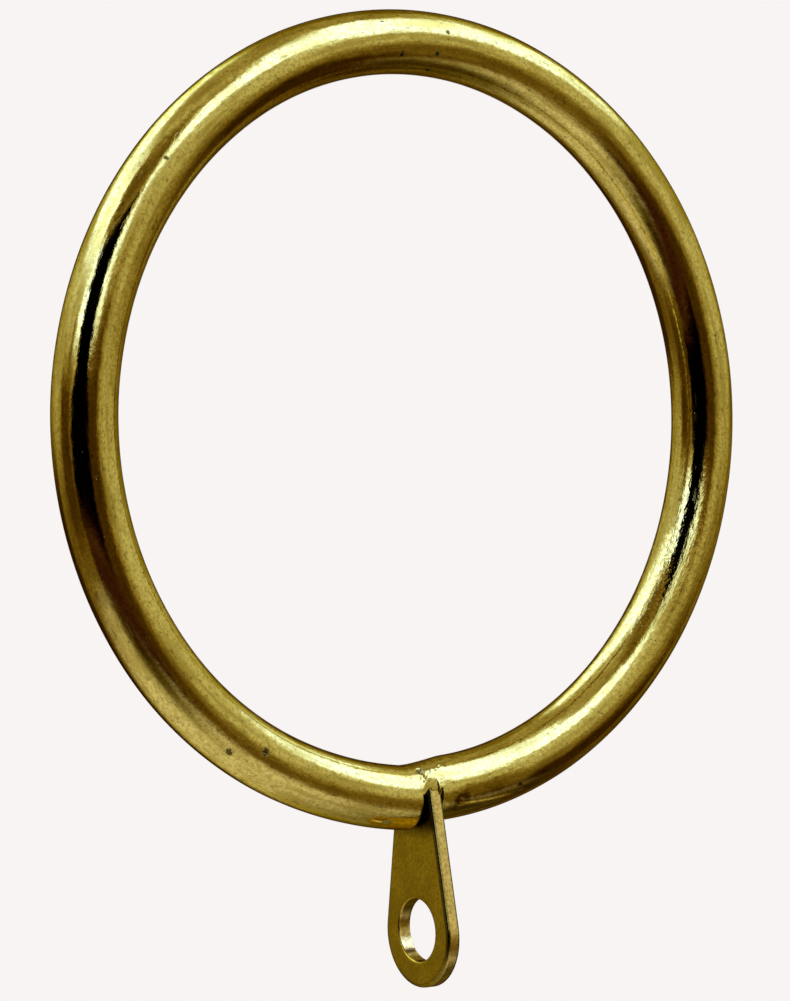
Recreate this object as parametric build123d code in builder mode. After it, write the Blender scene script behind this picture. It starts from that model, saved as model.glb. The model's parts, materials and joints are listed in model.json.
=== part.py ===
from build123d import *

import os

# Eyelet curtain ring: a wire bent into a ring, with a stamped eyelet tab held between
# the wire's two ends and a weld that closes the ring over the top of the tab.
# The origin is the middle of the ring, +Z is up and the pole runs along Y.

# Driving dimensions of the ring, in millimetres and degrees
ring_inside = 38.0  # clear opening for the pole
wire_diameter = 3.6
left_end_drop = 0.28  # the left end springs out of the ring's circle by this much
left_end_turn = 25.0  # angle before the joint where it starts to leave the circle
right_end_rise = 0.15  # the right end is pressed inside the circle by this much
right_end_turn = 44.0
end_break = 0.25  # bevel round the rim of each cut end of the wire

# Driving dimensions of the eyelet tab
tab_thickness = 0.8
tab_inset = 0.15  # the tab's shoulders stand in from the sides of the wire
tab_shoulder = 0.9  # corner radius of the tab's top
tab_top_rise = 0.9  # top edge of the tab above the wire's axis
eye_width = 6.0  # round lower end of the tab
eye_hole = 3.5
eye_drop = 7.6  # middle of the hole below the wire's axis
eye_margin = 0.2  # the round lower end is centred this far below the hole
tab_lean = 1.25  # the tab is welded slightly askew, with its eye towards the front
punched_edge = 0.12  # drawn-in edge of the face that the punch entered

# Driving dimensions of the weld
weld_gap = 0.3  # space between the left end of the wire and the tab
weld_foot = 0.3  # lowest weld metal above the wire's axis
weld_sink = 0.06  # the weld's skin lies this far under the wire's surface

# Places that follow from the sizes above
wire_radius = wire_diameter / 2
ring_radius = ring_inside / 2 + wire_radius
left_end_x = -(tab_thickness / 2 + weld_gap)
right_end_x = tab_thickness / 2
left_end_z = -(ring_radius + left_end_drop)
right_end_z = -(ring_radius - right_end_rise)
shoulder_side = wire_radius - tab_inset - tab_shoulder
shoulder_rise = tab_top_rise - tab_shoulder
tab_plane = Plane(origin=(-tab_thickness / 2, 0, -ring_radius), x_dir=(0, 1, 0), z_dir=(1, 0, 0))


# Ring: one length of round wire, bent almost all the way round. Its ends leave the circle
# in a wider and a tighter arc, so they meet the tab at different heights.
with BuildLine(Plane.XZ) as wire_path:
    bend_turn = 360 - left_end_turn - right_end_turn
    bend = CenterArc((0, 0), ring_radius, right_end_turn - 90, bend_turn)
    TangentArc(bend @ 1, (0, left_end_z), tangent=bend % 1)
    TangentArc(bend @ 0, (0, right_end_z), tangent=-(bend % 0))

with BuildPart() as ring:
    path = wire_path.wire()
    with BuildSketch(Plane(origin=path @ 0, z_dir=path % 0)) as wire_section:
        Circle(wire_radius)
    sweep(path=path)
    with BuildSketch(Plane.XZ) as joint_slot:
        with Locations(((left_end_x + right_end_x) / 2, -ring_radius)):
            Rectangle(right_end_x - left_end_x, 2 * wire_diameter)
    extrude(amount=wire_diameter, both=True, mode=Mode.SUBTRACT)
    cut_ends = ring.faces().filter_by(Axis.X)
    chamfer(cut_ends.edges(), end_break)


# Eyelet tab: a pear-shaped plate punched from sheet, standing across the wire. It is drawn
# from the wire's axis, and leans about that axis.
with BuildPart() as eyelet_tab:
    with BuildSketch(tab_plane.rotated((-tab_lean, 0, 0))) as tab_outline:
        with Locations((-shoulder_side, shoulder_rise), (shoulder_side, shoulder_rise)):
            Circle(tab_shoulder)
        with Locations((0, -eye_drop - eye_margin)):
            Circle(eye_width / 2)
        make_hull()
        with Locations((0, -eye_drop)):
            Circle(eye_hole / 2, mode=Mode.SUBTRACT)
    extrude(amount=tab_thickness)
    punched_face = eyelet_tab.faces().sort_by(Axis.X)[0]
    chamfer(punched_face.edges(), punched_edge)


# Weld: metal that runs from one wire end to the other over the shoulders of the tab,
# and leaves the lower part of the gap beside the tab open.
with BuildPart() as weld:
    with BuildSketch(Plane.YZ.offset(left_end_x - end_break)) as left_toe:
        with Locations((0, left_end_z)):
            Circle(wire_radius - weld_sink)
    with BuildSketch(Plane.YZ.offset(right_end_x + end_break)) as right_toe:
        with Locations((0, right_end_z)):
            Circle(wire_radius - weld_sink)
    loft()
    split(bisect_by=Plane.XY.offset(-ring_radius + weld_foot), keep=Keep.TOP)
    add(ring.part, mode=Mode.SUBTRACT)
    add(eyelet_tab.part, mode=Mode.SUBTRACT)


os.makedirs("parts", exist_ok=True)
ring.part.label = "ring"
export_step(ring.part, "parts/ring.step")
eyelet_tab.part.label = "eyelet_tab"
export_step(eyelet_tab.part, "parts/eyelet_tab.step")
weld.part.label = "weld"
export_step(weld.part, "parts/weld.step")
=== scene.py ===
import json
from math import acos, atan2, cos, hypot, pi, radians, sin

import bpy
import numpy as np
from mathutils import Matrix, Vector


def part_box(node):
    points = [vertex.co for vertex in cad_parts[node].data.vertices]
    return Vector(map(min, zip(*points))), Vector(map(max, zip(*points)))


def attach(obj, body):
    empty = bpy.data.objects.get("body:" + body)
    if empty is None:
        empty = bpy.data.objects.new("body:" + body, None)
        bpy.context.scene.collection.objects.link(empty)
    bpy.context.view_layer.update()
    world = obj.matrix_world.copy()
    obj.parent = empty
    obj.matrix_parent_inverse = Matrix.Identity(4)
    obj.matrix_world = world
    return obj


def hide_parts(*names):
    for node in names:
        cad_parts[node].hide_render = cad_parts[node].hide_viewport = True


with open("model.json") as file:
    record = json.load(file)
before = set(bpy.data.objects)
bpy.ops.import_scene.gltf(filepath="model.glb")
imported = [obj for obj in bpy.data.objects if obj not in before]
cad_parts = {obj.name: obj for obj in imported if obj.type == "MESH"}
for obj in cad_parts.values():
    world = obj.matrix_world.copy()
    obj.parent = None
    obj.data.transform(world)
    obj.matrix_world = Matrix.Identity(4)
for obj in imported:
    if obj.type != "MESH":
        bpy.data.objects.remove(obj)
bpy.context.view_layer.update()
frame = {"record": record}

# Eyelet curtain ring: brass-plated wire ring, punched eyelet tab and the weld that joins them.
# Meshes are worked out in millimetres in the part's frame and written in metres.
MM = 0.001

# Sizes taken from the frame
ring_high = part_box("ring")[1]
tab_low, tab_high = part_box("eyelet_tab")
wire_radius = ring_high.y / MM
ring_radius = ring_high.x / MM - wire_radius
tab_half = tab_high.x / MM
eye_radius = (tab_high.y - tab_low.y) / 2 / MM
eye_mount = next(m for m in frame["record"]["mounts"] if m["name"] == "hook_eye")
hole_radius = eye_mount["dims"]["r_mm"]

# Places across the tab, as (y, z): the wire's axis, the round lower end and the hole
tab_pivot = np.array([0, -ring_radius])
eye_centre = np.array([(tab_low.y + tab_high.y) / 2 / MM, tab_low.z / MM + eye_radius])
hole_centre = np.array(eye_mount["pos_m"][1:]) / MM

# The tab's shoulders, its straight sides from there to the round end, and how far it leans
tab_shoulder, tab_inset = 0.9, 0.15
shoulder_side = wire_radius - tab_inset - tab_shoulder
tab_drop = hypot(*(eye_centre - tab_pivot))
side_reach = hypot(shoulder_side, tab_drop)
tab_side = atan2(tab_drop, shoulder_side) - acos((eye_radius - tab_shoulder) / side_reach)
tab_lean = atan2(tab_pivot[0] - eye_centre[0], tab_pivot[1] - eye_centre[1])

# The wire's two ends: where they stop, how far they leave the circle and from which angle,
# and how far their rims are rounded
weld_gap = 0.3
right_end_x, left_end_x = tab_half, -tab_half - weld_gap
left_end_drop, left_end_turn = 0.28, radians(25)
right_end_rise, right_end_turn = 0.15, radians(44)
right_rounding, left_rounding = 0.15, 0.3

# How finely the wire is divided: points of its axis on the circle and on each tail that leaves it,
# rows of the mesh between the ends, and points round it
bend_count, tail_count = 6000, 600
middle_rows, wire_around = 400, 160
# The close rows near each end: how far they go, their spacing, and the gaps before and after them
end_length, end_spacing, rim_gap, middle_gap = 5.0, 0.06, 0.05, 0.2

# Camera, measured from the photograph
camera_azimuth, camera_elevation, camera_roll = radians(-34.667), radians(1.337), radians(-1.173)
camera_aim = (-0.829, 0.4445, -4.535)
camera_distance = 214.31
camera_lens = 139.12

rng = np.random.default_rng(11)


def smooth(low, high, value):
    """Soft step from 0 at low to 1 at high."""
    t = np.clip((np.asarray(value, float) - low) / (high - low), 0, 1)
    return t * t * (3 - 2 * t)


def span(value, start, full, easing, finish):
    """Soft rise from start to full, then 1, then a soft fall from easing to finish."""
    return smooth(start, full, value) * smooth(finish, easing, value)


def bump(value, middle, reach):
    """Soft bump of height 1 at the middle that ends at the reach."""
    return smooth(1, 0, np.abs(np.asarray(value, float) - middle) / reach)


def soft_least(a, b, blend):
    """The lesser of two values, with a soft change from one to the other."""
    share = np.clip(0.5 + (b - a) / (2 * blend), 0, 1)
    return b * (1 - share) + a * share - blend * share * (1 - share)


def ripples(u, v, wavelengths, height):
    """Irregular lumps over two coordinates in millimetres."""
    total = np.zeros(np.broadcast(u, v).shape)
    for wavelength in wavelengths:
        for _ in range(3):
            heading, phase = rng.uniform(0, 2 * pi, 2)
            k = 2 * pi / wavelength
            total = total + wavelength * np.sin(k * (u * cos(heading) + v * sin(heading)) + phase)
    return height * total / (3 * sum(wavelengths))


def waves(along, turn, height):
    """Slight waves along the wire that close up round it and never stand proud."""
    lengths = (5.0, 8.0, 14.0)
    total = 0.0
    for length in lengths:
        for lobes in (1, 2, 3):
            phase = rng.uniform(0, 2 * pi)
            total = total + length * np.sin(2 * pi * along / length + lobes * turn + phase)
    return height * (total / (3 * sum(lengths)) - 1)


def grid_faces(rows, columns, wrap):
    """Quads over a grid of points; wrap joins the last column to the first."""
    faces = []
    for i in range(rows - 1):
        this_row, next_row = i * columns, (i + 1) * columns
        for j in range(columns if wrap else columns - 1):
            k = (j + 1) % columns
            faces.append((this_row + j, this_row + k, next_row + k, next_row + j))
    return faces


def make_piece(name, points, faces, node, material):
    """A closed mesh piece that takes the place of a CAD node."""
    mesh = bpy.data.meshes.new(name)
    mesh.from_pydata((np.asarray(points) * MM).tolist(), [], faces)
    mesh.validate()
    piece = bpy.data.objects.new(name, mesh)
    bpy.context.collection.objects.link(piece)
    mesh.materials.append(material)
    mesh.shade_smooth()
    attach(piece, "root")
    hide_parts(node)
    return piece


def add_attribute(piece, name, kind, values):
    """A value at each point of the mesh, for the materials."""
    layer = piece.data.attributes.new(name, kind, "POINT")
    field = "vector" if kind == "FLOAT_VECTOR" else "value"
    layer.data.foreach_set(field, np.asarray(values, dtype=np.float32).ravel())


# The wire's axis

def tangent_arc(start, heading, finish, count):
    """Arc in the ring's plane that leaves start along heading and ends at finish."""
    start, heading, chord = np.array(start), np.array(heading), np.subtract(finish, start)
    side = np.array([-heading[1], heading[0]])
    radius = chord @ chord / (2 * (side @ chord))
    turn = np.linspace(0, 2 * atan2(abs(side @ chord), heading @ chord), count)[:, None]
    return start + abs(radius) * np.sin(turn) * heading + radius * (1 - np.cos(turn)) * side


def wire_axis():
    """Dense points (x, z) along the wire's axis, from over the right end round to over the left end."""
    angle = np.linspace(right_end_turn, 2 * pi - left_end_turn, bend_count)
    bend = ring_radius * np.stack([np.sin(angle), -np.cos(angle)], 1)
    heading = np.stack([np.cos(angle), np.sin(angle)], 1)
    right_tail = tangent_arc(bend[0], -heading[0], (0, right_end_rise - ring_radius), tail_count)
    left_tail = tangent_arc(bend[-1], heading[-1], (0, -left_end_drop - ring_radius), tail_count)
    return np.concatenate([right_tail[:0:-1], bend, left_tail[1:]])


axis = wire_axis()
axis_length = np.concatenate([[0], np.cumsum(np.hypot(*np.diff(axis, axis=0).T))])
right_stop = np.interp(right_end_x, axis[:tail_count, 0], axis_length[:tail_count])
left_stop = np.interp(left_end_x, axis[-tail_count:, 0], axis_length[-tail_count:])


def axis_at(along):
    """Points (x, z) of the wire's axis at distances along it."""
    return np.stack([np.interp(along, axis_length, axis[:, i]) for i in (0, 1)], 1)


def end_heights(x):
    """Heights of the left and right wire axes at x, carried on past their ends."""
    slope_points = 40
    right_tail, left_tail = axis[:tail_count], axis[-tail_count:]
    last_run, last_rise = left_tail[-1] - left_tail[-slope_points]
    left = np.where(x < 0, np.interp(x, *left_tail.T), left_tail[-1, 1] + last_rise / last_run * x)
    right = np.where(x > 0, np.interp(x, *right_tail.T), right_tail[0, 1])
    return left, right


# Ring. Angles round the wire, called turn in radians and front in degrees, run from 0 on the outside
# through -90 in front to 180 on the inside.

def on_right(along):
    """True near the right end of the wire."""
    return along < right_stop + 2 * end_length


def end_stations(rounding):
    """Distances from a cut end, close together over its rounded rim."""
    rim = rounding * (1 - np.cos(np.linspace(0, pi / 2, 9)))
    return np.concatenate([rim, np.arange(rounding + rim_gap, end_length, end_spacing)])


def top_ease(x, front):
    """1 over the top of the joint, where one wire end runs up to the other in a slope."""
    edge_angle, edge_slant, edge_soft = 47, 11, 3
    ragged = 3 * np.sin(9 * x + 1) + 2 * np.sin(17 * x)
    edge = edge_angle - edge_slant * np.clip(x, -0.4, 1.2)
    return smooth(edge_soft, -edge_soft, np.abs(np.abs(front) - 180) + ragged - edge)


def top_slope(x):
    """How far that slope has come up, from the left end to the right one."""
    slope_foot, slope_head = -1.7, 1.9
    return smooth(slope_foot, slope_head, x)


def front_wear(x, front):
    """How far both wire ends and the weld are worn back over the front of the joint."""
    depth, front_middle, front_reach, x_middle, x_reach = 0.085, -113, 34, 0.15, 1.15
    return depth * bump(front, front_middle, front_reach) * bump(x, x_middle, x_reach)


def ring_relief(x, along, turn):
    """How far the wire's surface stands off a true round: marks near the joint, and a slight wave."""
    swell_rise, bead_rise, clamp_depth, dent_depth, wave_height = 0.02, 0.015, 0.09, 0.035, 0.01
    front = np.degrees(turn)
    # A clamp has flattened the wire right of the joint, up to a ridge that runs slightly askew
    ridge = -61 + 3.3 * (x - 1.9)
    clamp = span(x, 1.3, 2.4, 4.5, 6.8) * smooth(0, -4, front - ridge) * smooth(-106, -74, front)
    bead = span(x, 1.5, 2.2, 5.0, 6.2) * bump(front - ridge, 1.5, 4)
    dent = span(x, 1.5, 1.62, 1.62, 2.1) * bump(front, -71, 11)
    swell = span(x, 0.55, 1.0, 1.25, 1.55) * bump(front, -64, 22)
    # Over the top, the right end is dressed down to the left one
    left, right = end_heights(x)
    dressed = (right - left) * (1 - top_slope(x)) * top_ease(x, front) * np.abs(np.cos(turn))
    marks = swell_rise * swell + bead_rise * bead - clamp_depth * clamp - dent_depth * dent
    marks = marks - dressed - front_wear(x, front)
    calm, wavy = 0.5, 4
    swing = smooth(calm, wavy, along - right_stop) * smooth(calm, wavy, left_stop - along)
    return marks * on_right(along) + waves(along, turn, wave_height) * swing


def build_ring(material):
    """The bent wire, with its cut ends and its marks."""
    middle_inset = end_length + middle_gap
    middle = np.linspace(right_stop + middle_inset, left_stop - middle_inset, middle_rows)
    right_rows = right_stop + end_stations(right_rounding)
    left_rows = left_stop - end_stations(left_rounding)[::-1]
    along = np.concatenate([right_rows, middle, left_rows])
    from_end = np.minimum(along - right_stop, left_stop - along)
    # Direction of the wire; its cut ends stand upright, so the last sections turn to face along X
    glance, upright_run = 0.01, 1.5
    centre = axis_at(along)
    heading = axis_at(along + glance) - centre
    heading /= np.linalg.norm(heading, axis=1)[:, None]
    upright = smooth(upright_run, 0, from_end)[:, None]
    heading = heading * (1 - upright) + np.array([1, 0]) * upright
    heading /= np.linalg.norm(heading, axis=1)[:, None]
    outward = np.stack([heading[:, 1], -heading[:, 0]], 1)
    # Round sections, drawn in over the rims and with the marks of the joint
    rounding = np.where(on_right(along), right_rounding, left_rounding)
    rim = np.clip(rounding - from_end, 0, rounding)
    radius = wire_radius - rounding + np.sqrt(rounding ** 2 - rim ** 2)
    turn = np.linspace(-pi, pi, wire_around, endpoint=False)
    reach = radius[:, None] + ring_relief(centre[:, :1], along[:, None], turn[None, :])
    out, aside = reach * np.cos(turn), reach * np.sin(turn)
    x, z = (centre[:, i:i + 1] + out * outward[:, i:i + 1] for i in (0, 1))
    points = np.stack([x, aside, z], 2)
    run = np.stack([np.broadcast_to(along[:, None], reach.shape), out, aside], 2)
    # Sides, and a fan over each cut end
    faces = grid_faces(len(along), wire_around, wrap=True)
    last = (len(along) - 1) * wire_around
    points = np.concatenate([points.reshape(-1, 3), points[0].mean(0)[None], points[-1].mean(0)[None]])
    run = np.concatenate([run.reshape(-1, 3), [[along[0], 0, 0], [along[-1], 0, 0]]])
    for j in range(wire_around):
        k = (j + 1) % wire_around
        faces.append((k, j, len(points) - 2))
        faces.append((last + j, last + k, len(points) - 1))
    piece = make_piece("wire_ring", points, faces, "ring", material)
    add_attribute(piece, "wire_run", "FLOAT_VECTOR", run)
    # Soot of the weld and painted shade on the cut ends, and painted shade on the rim beside the tab,
    # along the groove there
    right_fade, left_fade, round_fade = (0.16, 0.07), (0.02, 0.0), (114, 104)
    beside = np.where(on_right(along), smooth(*right_fade, from_end), smooth(*left_fade, from_end))
    soot_and_painted_shade = beside[:, None] * smooth(*round_fade, np.abs(np.degrees(turn)))
    add_attribute(piece, "soot_and_painted_shade", "FLOAT", np.append(soot_and_painted_shade.ravel(), [1, 1]))
    return piece


# Eyelet tab

def tab_outline(spacing):
    """Points and outward normals round the tab's pear shape, measured from the wire's axis."""
    top, eye = np.array([shoulder_side, 0]), np.array([0, -tab_drop])
    square = np.array([cos(tab_side), sin(tab_side)])
    low = eye + eye_radius * square
    high = top + tab_shoulder * square
    steps = np.arange(0, 1, spacing / np.linalg.norm(high - low))
    normals, points = [], []

    def add_arc(centre, radius, start, finish):
        for angle in np.arange(start, finish, spacing / radius):
            normals.append((cos(angle), sin(angle)))
            points.append(centre + radius * np.array(normals[-1]))

    def add_line(start, finish, steps, normal):
        for t in steps:
            normals.append(normal)
            points.append(start + (finish - start) * t)

    mirror = np.array([-1, 1])
    add_arc(eye, eye_radius, -pi - tab_side, tab_side)
    add_line(low, high, steps, square)
    add_arc(top, tab_shoulder, tab_side, pi / 2)
    flat = top + np.array([0, tab_shoulder])
    add_line(flat, flat * mirror, np.arange(0, 1, spacing / (2 * shoulder_side)), (0, 1))
    add_arc(top * mirror, tab_shoulder, pi / 2, pi - tab_side)
    add_line(high * mirror, low * mirror, steps, square * mirror)
    return np.array(points), np.array(normals)


def build_tab(material):
    """The punched tab, as loops of points from the hole over the front, the side and the back."""
    outline_spacing = 0.09
    roll, burr, hole_roll = 0.23, 0.04, 0.1
    # How much painted shade darkens the rolled edge, the burr edge and the hole's wall
    roll_shade, burr_shade, wall_shade = 0.7, 1.0, 0.3
    face_steps, wall_steps = np.linspace(0, 1, 9)[1:-1], np.linspace(0, 1, 7)[1:-1]
    roll_angles, burr_angles = np.linspace(0, pi / 2, 8), np.linspace(0, pi / 2, 4)
    # The tab leans: its own upright runs from the eye to the wire's axis
    up = (tab_pivot - eye_centre) / tab_drop
    aside = np.array([up[1], -up[0]])
    outline, normal = tab_outline(outline_spacing)
    count = len(outline)
    hole = np.array([0, (hole_centre - tab_pivot) @ up])
    spoke = outline - hole
    spoke /= np.linalg.norm(spoke, axis=1)[:, None]
    loops, heights, worn, painted_edge_shade = [], [], [], []

    # The last value of each loop is how much painted shade it gets
    def add(loop, x, edge, grime=0.0):
        loops.append(loop)
        heights.append(np.full(count, x))
        worn.append(np.full(count, edge))
        painted_edge_shade.append(np.full(count, grime))

    rim = hole + hole_radius * spoke
    face = outline - roll * normal
    back = outline - burr * normal
    hole_face = rim + hole_roll * spoke
    hole_back = rim + burr * spoke
    # Front face from the hole out to the rolled edge
    for t in face_steps:
        add(hole_face + (face - hole_face) * t, -tab_half, 0)
    for a in roll_angles:
        x = -tab_half + roll * (1 - cos(a))
        add(face + roll * sin(a) * normal, x, sin(a), roll_shade * sin(2 * a))
    # Side wall, then the burr edge and the back face in to the hole
    for t in wall_steps:
        add(outline, -tab_half + roll + t * (2 * tab_half - roll - burr), 1)
    for a in burr_angles[::-1]:
        add(back + burr * sin(a) * normal, tab_half - burr * (1 - cos(a)), sin(a), burr_shade)
    for t in face_steps[::-1]:
        add(hole_back + (back - hole_back) * t, tab_half, 0)
    # Wall of the hole back to the front face
    for a in burr_angles:
        add(hole_back - burr * sin(a) * spoke, tab_half - burr * (1 - cos(a)), sin(a))
    for t in wall_steps:
        add(rim, tab_half - burr - t * (2 * tab_half - hole_roll - burr), 1, wall_shade)
    for a in roll_angles[::-1]:
        add(hole_face - hole_roll * sin(a) * spoke, -tab_half + hole_roll * (1 - cos(a)), sin(a))
    loops, heights, worn, painted_edge_shade = (np.array(rows) for rows in (loops, heights, worn, painted_edge_shade))
    across = tab_pivot + loops[:, :, :1] * aside + loops[:, :, 1:] * up
    points = np.concatenate([heights[:, :, None], across], 2).reshape(-1, 3)
    faces = grid_faces(len(loops), count, wrap=True)
    last = (len(loops) - 1) * count
    for j in range(count):
        k = (j + 1) % count
        faces.append((last + j, last + k, k, j))
    piece = make_piece("punched_tab", points, faces, "eyelet_tab", material)
    add_attribute(piece, "cut_edge", "FLOAT", worn)
    # Painted shade on the face in the gap beside the wire's left end, and painted shade along the
    # rolled and burred edges and on the hole's wall
    below_axis = -ring_radius - points[:, 2]
    in_gap = smooth(2.5, 1.6, below_axis) * smooth(0.1, -0.1, points[:, 0])
    on_face = 1 - smooth(0.8, 1.0, worn.ravel())
    add_attribute(piece, "soot_and_painted_shade", "FLOAT", np.maximum(in_gap * on_face, painted_edge_shade.ravel()))
    return piece


# Weld

def weld_height(x, front):
    """Height of the weld's axis, from the left wire end to the right one.

    It is a soft step low in front, a sharp ragged one above that, and a slope over the top.
    """
    edge_x, edge_half = -0.4, 0.07
    ragged = 0.03 * np.sin(front / 2.1) + 0.02 * np.sin(front / 0.9)
    sharp = smooth(-edge_half, edge_half, x - edge_x - ragged)
    soft = smooth(-0.85, -0.25, x)
    sharp_share = smooth(-118, -126, front)
    step = sharp * sharp_share + soft * (1 - sharp_share)
    ease = top_ease(x, front)
    step = step * (1 - ease) + top_slope(x) * ease
    left, right = end_heights(x)
    return left * (1 - step) + right * step


def weld_flat(x, turn, height):
    """Reach of the weld's flat front and back, which stand up from the tab's straight sides."""
    slant, proud = radians(5), 0.004
    corner_y, corner_z = shoulder_side + tab_shoulder * cos(tab_side), tab_shoulder * sin(tab_side)
    flat = hypot(corner_y, corner_z) * cos(atan2(corner_z, corner_y) - slant) + proud
    # Away from the tab it comes forward, to run out over the wire ends
    flat = flat + 0.12 * smooth(-0.35, -1.05, x) + 0.35 * smooth(-0.95, -1.2, x)
    flat = flat + 0.35 * smooth(0.22, 0.42, x)
    lean = slant + tab_lean * np.sign(-np.sin(turn))
    flat = flat - (height + ring_radius) * np.sin(lean)
    return flat / (np.abs(np.sin(turn)) * np.cos(lean) - np.cos(turn) * np.sin(lean))


def weld_reach(x, turn, height):
    """How far the weld's skin stands off its axis."""
    lump_sizes, lump_height, toe_depth, flat_blend = (0.3, 0.5, 0.8), 0.012, 0.004, 0.03
    front = np.degrees(turn)
    lumps = ripples(x, wire_radius * turn, lump_sizes, lump_height)
    lip = span(x, -0.5, -0.35, 0.2, 0.7) * bump(front, -128, 18)
    # The toes sink just under the wire at both sides
    toes = smooth(-0.85, -1.0, x) + 2 * smooth(0.55, 0.9, x) - smooth(0.3, 0.5, x)
    reach = wire_radius - toe_depth * toes + lumps * lip - front_wear(x, front)
    reach = soft_least(reach, weld_flat(x, turn, height), flat_blend)
    # The foot draws in, and leaves the gap left of the tab and a groove right of it open
    gap = 0.9 * smooth(-98, -93, front) * smooth(-0.36, -0.46, x)
    web = 0.15 * smooth(-100, -93, front) * smooth(-0.15, -0.4, x)
    foot = 0.03 * smooth(-97, -83, front)
    groove = 0.3 * smooth(-98, -94, front) * smooth(0.36, 0.44, x)
    return reach - gap - web - foot - groove


def build_weld(material):
    """The weld, as a shell over the top of the joint."""
    rows, columns = 150, 200
    pit_depth, slit_depth, core_share = 0.28, 0.2, 0.5
    pit_soot_and_shade, top_soot = 0.45, 0.15
    x = np.linspace(-2.0, 1.0, rows)[:, None]
    turn = np.radians(np.linspace(-264, -86, columns))[None, :]
    front = np.degrees(turn)
    height = weld_height(x, front)
    reach = weld_reach(x, turn, height)
    # A pit and a slit are left where the weld didn't fill the step
    hollow = np.hypot((x + 0.55) / 0.26, (front + 144) / 10)
    slit = bump(x, -0.47, 0.08) * bump(front, -135, 9)
    reach = reach - pit_depth * bump(hollow, 0, 1) - slit_depth * slit
    # Soot and painted shade darken the pit and the slit; the top of the slope is browned
    sooted_and_shaded = pit_soot_and_shade * np.maximum(smooth(1.1, 0.7, hollow), slit)
    browned = top_soot * top_ease(x, front) * span(x, -0.9, -0.5, 0.3, 0.6)
    # Skin, and a core under it that closes the mesh
    aside, rise = reach * np.sin(turn), -reach * np.cos(turn)
    x_all = np.broadcast_to(x, reach.shape)
    skin = np.stack([x_all, aside, height + rise], 2)
    core = np.stack([x_all, core_share * aside, height + core_share * rise], 2)
    points = np.concatenate([skin.reshape(-1, 3), core.reshape(-1, 3)])
    half = rows * columns
    faces = grid_faces(rows, columns, wrap=False)
    faces += [tuple(half + i for i in reversed(face)) for face in faces]
    border = list(range(columns))
    border += [i * columns + columns - 1 for i in range(1, rows)]
    border += [(rows - 1) * columns + j for j in range(columns - 2, -1, -1)]
    border += [i * columns for i in range(rows - 2, 0, -1)]
    for a, b in zip(border, border[1:] + border[:1]):
        faces.append((b, a, half + a, half + b))
    piece = make_piece("weld_seam", points, faces, "weld", material)
    add_attribute(piece, "wire_run", "FLOAT_VECTOR", points)
    add_attribute(piece, "soot_and_painted_shade", "FLOAT", np.tile(np.maximum(sooted_and_shaded, browned).ravel(), 2))
    return piece


# Materials

def add_node(tree, kind, inputs=None, **settings):
    """A shader node with its settings and inputs; an input is a value or another node's socket."""
    node = tree.nodes.new(kind)
    for name, value in settings.items():
        setattr(node, name, value)
    for name, value in (inputs or {}).items():
        if isinstance(value, bpy.types.NodeSocket):
            tree.links.new(value, node.inputs[name])
        else:
            node.inputs[name].default_value = value
    return node


def calc(tree, operation, a, b=0.0, c=0.0):
    """Result of one Math node."""
    return add_node(tree, "ShaderNodeMath", {0: a, 1: b, 2: c}, operation=operation).outputs[0]


def vector_calc(tree, operation, a, b=(0, 0, 0)):
    """Results of one Vector Math node."""
    return add_node(tree, "ShaderNodeVectorMath", {0: a, 1: b}, operation=operation).outputs


def ramp(tree, value, low, high, start=0.0, finish=1.0):
    """Soft step of a value between two levels."""
    inputs = {"Value": value, "From Min": low, "From Max": high, "To Min": start, "To Max": finish}
    node = add_node(tree, "ShaderNodeMapRange", inputs, interpolation_type="SMOOTHSTEP")
    return node.outputs["Result"]


def mix_colour(tree, factor, a, b):
    """Colour between a and b."""
    node = add_node(tree, "ShaderNodeMix", data_type="RGBA")
    for socket, value in ((node.inputs[0], factor), (node.inputs[6], a), (node.inputs[7], b)):
        if isinstance(value, bpy.types.NodeSocket):
            tree.links.new(value, socket)
        else:
            socket.default_value = value
    return node.outputs[2]


def noise(tree, place, scale, detail=2.0, stretch=(1, 1, 1), grain=0.5):
    """Noise value over a place, which may be stretched; grain is the share of its finer detail."""
    mapped = add_node(tree, "ShaderNodeMapping", {"Vector": place, "Scale": stretch}).outputs[0]
    inputs = {"Vector": mapped, "Scale": scale, "Detail": detail, "Roughness": grain}
    return add_node(tree, "ShaderNodeTexNoise", inputs).outputs["Fac"]


def attribute(tree, name, output="Fac"):
    """A value that the mesh carries at each point."""
    return add_node(tree, "ShaderNodeAttribute", attribute_name=name).outputs[output]


def distance_from(tree, value, level):
    """How far a value is from a level, either way."""
    return calc(tree, "ABSOLUTE", calc(tree, "SUBTRACT", value, level))


def start_material(name):
    """A metal to add looks to: the material, its node tree and its shader."""
    material = bpy.data.materials.new(name)
    material.use_nodes = True
    tree = material.node_tree
    shader = tree.nodes["Principled BSDF"]
    shader.inputs["Metallic"].default_value = 1.0
    shader.inputs["Specular Tint"].default_value = (0.4, 0.34, 0.28, 1)
    return material, tree, shader


def set_bump(tree, shader, height):
    """Surface relief from a height in thousandths of a millimetre."""
    inputs = {"Height": height, "Distance": 0.001 * MM, "Strength": 1.0}
    node = add_node(tree, "ShaderNodeBump", inputs)
    tree.links.new(node.outputs[0], shader.inputs["Normal"])


# Marks of use on the wire: angle along it from the foot, angle round it, size in millimetres
wire_marks = ((-32.2, -89, 0.22), (-36.9, -50, 0.19), (-176.8, -117, 0.15), (176.5, -114, 0.16),
              (176.8, -150, 0.16), (15.9, -65, 0.2), (-130.5, -65, 0.12), (174.8, -73, 0.12))
# The stretch of wire that is pitted most: angle along it from the foot, and reach, in degrees
pitted_middle, pitted_reach = 64, 26


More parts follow.
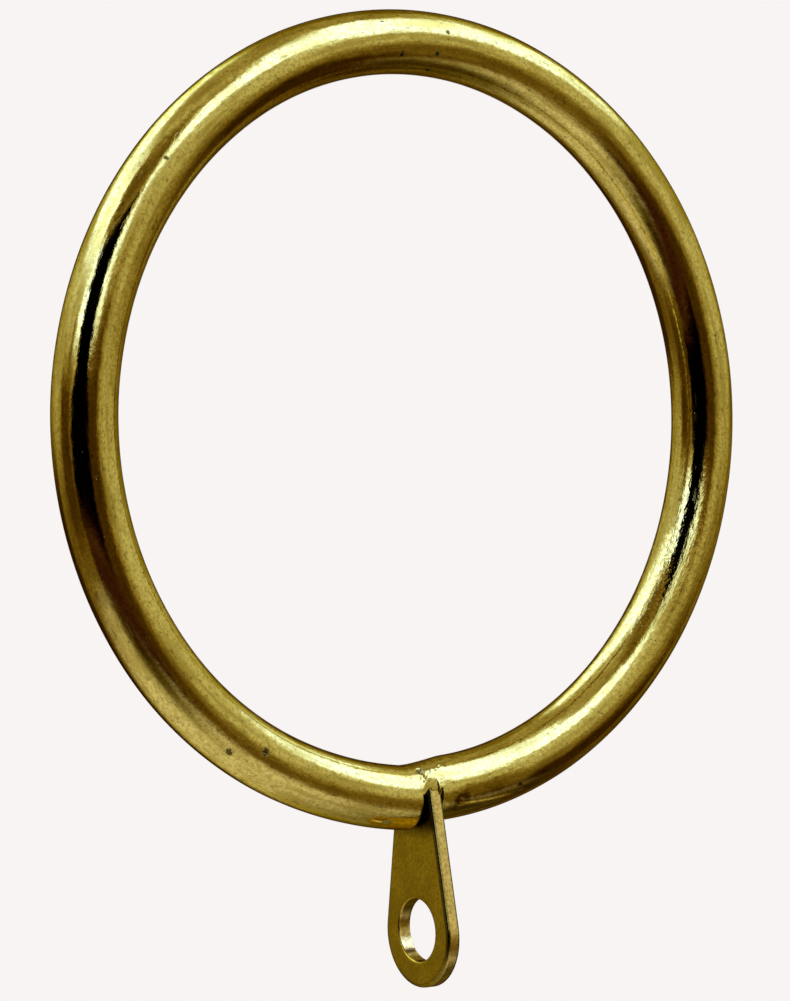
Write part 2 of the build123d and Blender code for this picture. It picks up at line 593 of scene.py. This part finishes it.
def mark_cover(tree, place, ragged):
    """1 inside the marks of use, with ragged edges."""
    raggedness, outer, inner = 6, 1.1, 0.7
    cover = 0.0
    for foot_angle, turn, size in wire_marks:
        along = ring_radius * radians(foot_angle % 360)
        spot = (along, wire_radius * cos(radians(turn)), wire_radius * sin(radians(turn)))
        away = vector_calc(tree, "DISTANCE", place, spot)["Value"]
        away = calc(tree, "MULTIPLY_ADD", calc(tree, "SUBTRACT", ragged, 0.5), raggedness * size, away)
        cover = calc(tree, "MAXIMUM", ramp(tree, away, outer * size, inner * size), cover)
    return cover


def plated_brass(name, coarse, dull):
    """Brass plating over drawn wire: draw lines, hairlines, tarnish, pits and marks of use."""
    material, tree, shader = start_material(name)
    run = attribute(tree, "wire_run", "Vector")
    soot_and_painted_shade = attribute(tree, "soot_and_painted_shade")
    lines = noise(tree, run, 3.0, 3.0, stretch=(0.02, 1, 1))
    streaks = noise(tree, run, 2.2, 6.0, stretch=(0.1, 1, 1))
    clouds = noise(tree, run, 0.9, 5.0, stretch=(0.5, 1, 1))
    peel = noise(tree, run, 2.6, 5.0, stretch=(0.45, 1, 1))
    dashes = noise(tree, run, 7.0, 2.0, stretch=(0.4, 1, 1))
    speckle = noise(tree, run, 5.0, 5.0, grain=0.8)
    grime = ramp(tree, noise(tree, run, 4.0, 6.0, stretch=(0.5, 1, 1), grain=0.7), 0.54, 0.68)
    broken = ramp(tree, noise(tree, run, 0.9, 3.0, stretch=(0.6, 1, 1)), 0.54, 0.64)
    along = add_node(tree, "ShaderNodeSeparateXYZ", {"Vector": run}).outputs["X"]
    from_pitted = distance_from(tree, along, ring_radius * radians(pitted_middle))
    pitted = ramp(tree, from_pitted, ring_radius * radians(pitted_reach), 0.0)
    hairline = calc(tree, "MULTIPLY", ramp(tree, distance_from(tree, lines, 0.5), 0.014, 0.0), broken)
    pits = ramp(tree, noise(tree, run, 3.2, 4.0), 0.72, 0.78)
    marks = calc(tree, "MAXIMUM", pits, mark_cover(tree, run, speckle))
    bright, brown, dark = (0.92, 0.71, 0.145, 1), (0.55, 0.38, 0.05, 1), (0.045, 0.025, 0.003, 1)
    tone = mix_colour(tree, ramp(tree, streaks, 0.46, 0.64, 0.0, 0.8), bright, brown)
    tone = mix_colour(tree, ramp(tree, clouds, 0.5, 0.66, 0.0, 0.5), tone, brown)
    tone = mix_colour(tree, ramp(tree, speckle, 0.43, 0.62, 0.0, 0.9), tone, brown)
    # Grime and marks are the metal's own; the last darkening is soot of the weld with painted shade in
    # the joint's gap, groove, pit and slit
    for where, share in ((grime, 0.5), (marks, 0.9), (soot_and_painted_shade, 0.95)):
        tone = mix_colour(tree, ramp(tree, where, 0.0, 1.0, 0.0, share), tone, dark)
    tree.links.new(tone, shader.inputs["Base Color"])
    rough = ramp(tree, streaks, 0.4, 0.75, dull, dull + 0.08)
    for where, more in ((marks, 0.1), (soot_and_painted_shade, 0.35)):
        rough = calc(tree, "MULTIPLY_ADD", where, more, rough)
    tree.links.new(rough, shader.inputs["Roughness"])
    height = calc(tree, "MULTIPLY", peel, coarse)
    dashed = calc(tree, "MULTIPLY", dashes, pitted)
    for relief, rise in ((dashed, 18.0), (lines, 4.0), (speckle, 2.0), (hairline, -1.5), (marks, -9.0)):
        height = calc(tree, "MULTIPLY_ADD", relief, rise, height)
    set_bump(tree, shader, height)
    return material


def sheet_brass(name):
    """Brass-plated sheet: dull speckled faces, and pale sheared edges with a few cross marks."""
    material, tree, shader = start_material(name)
    place = add_node(tree, "ShaderNodeTexCoord").outputs["Object"]
    place = vector_calc(tree, "MULTIPLY", place, (1 / MM,) * 3)["Vector"]
    edge = attribute(tree, "cut_edge")
    soot_and_painted_shade = attribute(tree, "soot_and_painted_shade")
    speckle = noise(tree, place, 5.0, 5.0, grain=0.8)
    cloud = noise(tree, place, 0.9, 4.0)
    across = ramp(tree, noise(tree, place, 1.6, 3.0, stretch=(0.5, 0.5, 1)), 0.54, 0.66)
    gold, olive, brown = (0.72, 0.5, 0.032, 1), (0.56, 0.375, 0.024, 1), (0.42, 0.28, 0.02, 1)
    face = mix_colour(tree, ramp(tree, cloud, 0.35, 0.65), gold, olive)
    face = mix_colour(tree, ramp(tree, speckle, 0.42, 0.64), face, brown)
    pale, tan, mark = (1.0, 0.73, 0.19, 1), (0.62, 0.39, 0.055, 1), (0.55, 0.39, 0.06, 1)
    cut = mix_colour(tree, ramp(tree, speckle, 0.42, 0.62), pale, tan)
    cut = mix_colour(tree, ramp(tree, across, 0.0, 1.0, 0.0, 0.4), cut, mark)
    tone = mix_colour(tree, ramp(tree, edge, 0.85, 1.0), face, cut)
    # Painted shade from the mesh darkens the face in the gap by the wire's end, the edges and the
    # hole's wall
    tone = mix_colour(tree, soot_and_painted_shade, tone, (0.06, 0.04, 0.008, 1))
    tree.links.new(tone, shader.inputs["Base Color"])
    rough = calc(tree, "MULTIPLY_ADD", speckle, 0.14, ramp(tree, edge, 0.5, 1.0, 0.24, 0.1))
    tree.links.new(rough, shader.inputs["Roughness"])
    height = calc(tree, "MULTIPLY", speckle, 4.0)
    height = calc(tree, "MULTIPLY_ADD", calc(tree, "MULTIPLY", across, edge), -3.0, height)
    set_bump(tree, shader, height)
    return material


# Studio: backdrop, windows and dark screens round the object, with a pale floor well below it

backdrop = (0.939, 0.905, 0.896, 1)

# Brightness of the surroundings by latitude, from straight down to straight up
sky_levels = ((-90, 0.18), (-30, 0.18), (-20, 0.16), (-14, 0.2), (-6, 0.3), (0, 0.39), (12, 0.52),
              (22, 0.63), (50, 0.74), (60, 0.7), (66, 0.58), (72, 0.47), (80, 0.37), (90, 0.33))

# Patches laid over that: longitude and reach, latitude and reach, softness of the edge, brightness
patches = (
    # Long windows, left and right, with the dim stretch between them
    (-139, 55, 47.5, 13, 7, 1.75),
    (39, 53, 45, 13, 4, 1.75),
    (52, 36, 63, 9, 6, 1.5),
    (68, 36, 33, 8, 4, 1.5),
    (-46, 34, 51, 13, 9, 0.17),
    (-6, 14, 60, 7, 5, 0.4),
    # Dark screen in front, with the narrow windows at its two sides
    (-100, 20, -7, 20, 8, 0.07),
    (-93, 3, 16, 8, 3, 0.15),
    (-75.5, 9.5, 28, 11.5, 3, 1.5),
    (-4, 20, -9, 20, 9, 0.065),
    (-16, 7.5, 21, 10, 2, 1.3),
    (-45, 21.5, 20, 20, 1.5, 0.0),
    (-48, 30.5, -8, 14, 3, 0.0),
    (-66, 8, 4, 6, 2, 0.0),
    # Pale wall and dark corner on the right
    (66, 36, 9, 9, 6, 0.55),
    (68, 20, -29, 11.5, 6.5, 0.04),
    (94, 28, -45, 12, 9, 0.04),
    (100, 8, -9, 13, 6, 0.3),
    # Dim room behind
    (140, 24, 33, 23, 9, 0.3),
    (125, 45, 66, 10, 8, 0.36),
    (150, 24, 2, 22, 7, 0.1),
    (180, 24, -16, 12, 6, 0.05),
)

# Green and blue of the surroundings: power of the brightness, share and most
green_tint, blue_tint = (1.32, 1.27, 2.4), (2.4, 2.55, 6.5)

# Two patches with a colour of their own: dark wood low in front, and the backdrop behind the object
wood = (0.045, 0.014, 0.01, 1)
wood_patch = (-36, 38, -34, 14, 6)
backdrop_patch = (145.3, 8.5, -1.3, 8.5, 2)

# Round floor in millimetres: middle, radius, and the radius where it starts to fade
floor_centre, floor_radius, floor_fade = (-20, 0, -120), 180, 75
# Its own pale colour, then the brown and the dark of the painted shadows
floor_tones = (0.8, 0.64, 0.37, 1), (0.2, 0.14, 0.015, 1), (0.03, 0.011, 0.002, 1)
# Painted shadows on it, in front of the object, to its right and behind: place and reach
floor_painted_shadows = (((-77, -95, 0), 100), ((112, 5, 0), 110), ((115, 60, 0), 70))


def patch_cover(tree, longitude, latitude, east, east_reach, north, north_reach, soft):
    """1 inside a patch of the surroundings, with soft edges."""
    aside = calc(tree, "WRAP", calc(tree, "SUBTRACT", longitude, east), 180.0, -180.0)
    aside = calc(tree, "ABSOLUTE", aside)
    above = distance_from(tree, latitude, north)
    return calc(tree, "MULTIPLY", ramp(tree, aside, east_reach + soft, east_reach - soft),
                ramp(tree, above, north_reach + soft, north_reach - soft))


def tinted(tree, bright, power, share, most):
    """One channel of the surroundings: bright places are cooler and dark places warmer."""
    level = calc(tree, "MULTIPLY", calc(tree, "POWER", bright, power), share)
    return calc(tree, "MINIMUM", level, most)


def build_world():
    """The surroundings that light the metal and show in it."""
    world = bpy.data.worlds.new("studio")
    bpy.context.scene.world = world
    world.use_nodes = True
    tree = world.node_tree
    way = add_node(tree, "ShaderNodeTexCoord").outputs["Generated"]
    part = add_node(tree, "ShaderNodeSeparateXYZ", {"Vector": way}).outputs
    ahead = calc(tree, "MULTIPLY", part["Y"], -1.0)
    longitude = calc(tree, "DEGREES", calc(tree, "ARCTAN2", part["X"], ahead))
    latitude = calc(tree, "DEGREES", calc(tree, "ARCSINE", part["Z"]))
    share = calc(tree, "MULTIPLY_ADD", latitude, 1 / 180, 0.5)
    levels = add_node(tree, "ShaderNodeValToRGB", {"Fac": share})
    stops = levels.color_ramp.elements
    while len(stops) < len(sky_levels):
        stops.new(0.5)
    for stop, (angle, level) in zip(stops, sky_levels):
        stop.position = (angle + 90) / 180
        stop.color = (level, level, level, 1)
    bright = levels.outputs["Color"]
    for *place, level in patches:
        cover = patch_cover(tree, longitude, latitude, *place)
        bright = add_node(tree, "ShaderNodeMix", {0: cover, 2: bright, 3: level}).outputs[0]
    channels = {"Red": bright, "Green": tinted(tree, bright, *green_tint),
                "Blue": tinted(tree, bright, *blue_tint)}
    colour = add_node(tree, "ShaderNodeCombineColor", channels).outputs[0]
    colour = mix_colour(tree, patch_cover(tree, longitude, latitude, *wood_patch), colour, wood)
    # The camera sees plain backdrop everywhere, and the metal sees it behind the object
    behind = patch_cover(tree, longitude, latitude, *backdrop_patch)
    camera_ray = add_node(tree, "ShaderNodeLightPath").outputs["Is Camera Ray"]
    seen = calc(tree, "MAXIMUM", behind, camera_ray)
    colour = mix_colour(tree, seen, colour, backdrop)
    tree.links.new(colour, tree.nodes["Background"].inputs["Color"])


def floor_material():
    """Pale floor with painted shadows that fades out at its edge; the camera sees plain backdrop."""
    material = bpy.data.materials.new("floor")
    material.use_nodes = True
    tree = material.node_tree
    tree.nodes.remove(tree.nodes["Principled BSDF"])
    place = add_node(tree, "ShaderNodeTexCoord").outputs["Object"]
    tone, brown, dark = floor_tones
    # Each painted shadow darkens the floor to brown, and to dark near its middle
    for spot, reach in floor_painted_shadows:
        away = vector_calc(tree, "DISTANCE", place, Vector(spot) * MM)["Value"]
        tone = mix_colour(tree, ramp(tree, away, reach * MM, 0.3 * reach * MM), tone, brown)
        tone = mix_colour(tree, ramp(tree, away, 0.7 * reach * MM, 0.0), tone, dark)
    pale = add_node(tree, "ShaderNodeBsdfDiffuse", {"Color": tone}).outputs[0]
    clear = add_node(tree, "ShaderNodeBsdfTransparent").outputs[0]
    from_middle = vector_calc(tree, "LENGTH", place)["Value"]
    outer = ramp(tree, from_middle, floor_fade * MM, floor_radius * MM)
    fading = add_node(tree, "ShaderNodeMixShader", {0: outer, 1: pale, 2: clear}).outputs[0]
    white = add_node(tree, "ShaderNodeEmission", {"Color": backdrop}).outputs[0]
    seen = add_node(tree, "ShaderNodeLightPath").outputs["Is Camera Ray"]
    result = add_node(tree, "ShaderNodeMixShader", {0: seen, 1: fading, 2: white}).outputs[0]
    tree.links.new(result, tree.nodes["Material Output"].inputs["Surface"])
    return material


def build_floor():
    """A flat round floor."""
    corners = 96
    angles = np.linspace(0, 2 * pi, corners, endpoint=False)
    rim = [Vector((cos(a), sin(a), 0)) * floor_radius * MM for a in angles]
    mesh = bpy.data.meshes.new("floor")
    mesh.from_pydata(rim, [], [tuple(range(corners))])
    mesh.materials.append(floor_material())
    floor = bpy.data.objects.new("floor", mesh)
    floor.location = Vector(floor_centre) * MM
    bpy.context.collection.objects.link(floor)


def build_camera():
    """The camera at the photograph's angle."""
    data = bpy.data.cameras.new("camera")
    data.lens = camera_lens
    data.clip_start = 0.01
    level_back = Vector((sin(camera_azimuth), -cos(camera_azimuth), 0))
    back = level_back * cos(camera_elevation) + Vector((0, 0, sin(camera_elevation)))
    level = Vector((cos(camera_azimuth), sin(camera_azimuth), 0))
    right = level * cos(camera_roll) + back.cross(level) * sin(camera_roll)
    turn = Matrix((right, back.cross(right), back)).transposed()
    place = (Vector(camera_aim) + back * camera_distance) * MM
    camera = bpy.data.objects.new("camera", data)
    camera.matrix_world = Matrix.Translation(place) @ turn.to_4x4()
    bpy.context.collection.objects.link(camera)
    bpy.context.scene.camera = camera


bpy.context.scene.view_settings.view_transform = "Standard"
build_ring(plated_brass("plated_wire", coarse=14.0, dull=0.05))
build_tab(sheet_brass("plated_sheet"))
build_weld(plated_brass("plated_weld", coarse=18.0, dull=0.12))
build_world()
build_floor()
build_camera()
